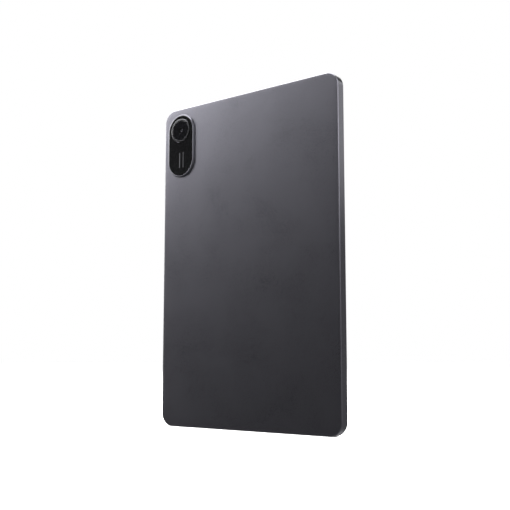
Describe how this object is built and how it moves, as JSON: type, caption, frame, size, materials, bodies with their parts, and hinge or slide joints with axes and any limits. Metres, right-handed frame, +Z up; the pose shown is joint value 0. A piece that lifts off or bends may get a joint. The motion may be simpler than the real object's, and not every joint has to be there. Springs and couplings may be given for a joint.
{
  "type": "tablet computer",
  "caption": "Slim tablet computer with a flat glass front, a metal back with rolled edges, a raised pill-shaped camera island, side keys and a card tray.",
  "frame": {"origin": "middle of the bounding box's bottom face, with the tablet upright in portrait on its bottom edge", "axes": "+Z up along the long side, +Y out of the metal back, +X to the right seen from the screen side"},
  "size_m": [0.1664, 0.0096, 0.2551],
  "materials": {
    "anodised_metal": "bead-blasted and anodised dark grey, satin",
    "polished_trim": "anodised dark grey, cut bright",
    "black_metal": "black anodised, fine turned",
    "black_glass": "black-backed glass, polished",
    "cover_glass": "polished clear glass",
    "lens_glass": "coated optical glass",
    "black_plastic": "moulded, fine matt",
    "display_panel": "dark polarised panel, switched off",
    "backlight": "white and silver films over a light guide",
    "plate_alloy": "stamped, matt",
    "steel": "stainless, rolled",
    "circuit_board": "green solder mask",
    "chip": "black epoxy package",
    "pouch_foil": "laminated aluminium pouch in black film",
    "flex_cable": "amber polyimide film",
    "adhesive": "black foam tape",
    "graphite": "graphite film",
    "speaker_mesh": "fine black woven mesh"
  },
  "bodies": {
    "tablet_body": {"unibody_shell": "anodised_metal", "display_frame": "black_plastic", "display_tape": "adhesive", "cover_glass": "cover_glass", "lcd_panel": "display_panel", "backlight_unit": "backlight", "display_flex": "flex_cable", "mid_plate": "plate_alloy", "plate_screw_1": "steel", "plate_screw_2": "steel", "plate_screw_3": "steel", "plate_screw_4": "steel", "plate_screw_5": "steel", "plate_screw_6": "steel", "battery_cell_left": "pouch_foil", "battery_cell_right": "pouch_foil", "battery_tape_left": "adhesive", "battery_tape_right": "adhesive", "battery_board": "circuit_board", "main_board": "circuit_board", "main_shield_can": "steel", "rf_shield_can": "steel", "processor": "chip", "memory_chip": "chip", "graphite_sheet": "graphite", "main_flex": "flex_cable", "usb_board": "circuit_board", "usb_c_shell": "steel", "usb_c_tongue": "black_plastic", "microphone_top": "steel", "microphone_bottom": "steel", "wifi_antenna": "flex_cable", "speaker_bottom_left": "black_plastic", "speaker_top_left": "black_plastic", "speaker_mesh_bottom_left": "speaker_mesh", "speaker_mesh_top_left": "speaker_mesh", "speaker_bottom_right": "black_plastic", "speaker_top_right": "black_plastic", "speaker_mesh_bottom_right": "speaker_mesh", "speaker_mesh_top_right": "speaker_mesh", "rear_camera_base": "black_metal", "rear_camera_flex": "flex_cable", "camera_island_rim": "polished_trim", "camera_island_glass": "black_glass", "lens_ring": "black_metal", "lens_window": "lens_glass", "front_camera": "black_metal", "light_sensor": "chip", "power_switch": "steel", "volume_up_switch": "steel", "volume_down_switch": "steel", "key_flex": "flex_cable", "card_reader": "steel"},
    "power_key": {"power_button": "anodised_metal"},
    "volume_key": {"volume_rocker": "anodised_metal"},
    "tray": {"card_tray": "anodised_metal"},
    "ejector_rod": {"eject_rod": "steel"},
    "ejector_lever": {"eject_lever": "steel"},
    "focus_barrel": {"rear_camera_barrel": "black_metal", "rear_camera_lens": "lens_glass"}
  },
  "joints": [
    {"name": "power_press", "type": "slide", "parent": "tablet_body", "child": "power_key", "axis": [0, 0, -1], "range_m": [0, 0.0003], "stiffness_N_per_m": 1500},
    {"name": "volume_rock", "type": "hinge", "parent": "tablet_body", "child": "volume_key", "pos_m": [0.0806, -0.00056, 0.216], "axis": [0, 1, 0], "range_deg": [-1.5, 1.5], "stiffness_Nm_per_rad": 0.7},
    {"name": "tray_slide", "type": "slide", "parent": "tablet_body", "child": "tray", "axis": [1, 0, 0], "range_m": [0, 0.024]},
    {"name": "eject_push", "type": "slide", "parent": "tablet_body", "child": "ejector_rod", "axis": [-1, 0, 0], "range_m": [0, 0.0012]},
    {"name": "eject_turn", "type": "hinge", "parent": "tablet_body", "child": "ejector_lever", "pos_m": [0.06055, -0.00056, 0.0465], "axis": [0, -1, 0], "range_deg": [0, 9.4]},
    {"name": "focus_travel", "type": "slide", "parent": "tablet_body", "child": "focus_barrel", "axis": [0, 1, 0], "range_m": [0, 0.0003], "stiffness_N_per_m": 200}
  ],
  "couplings": [
    {"joint": "eject_turn", "follows": "eject_push", "rad_per_m": 135.13}
  ]
}
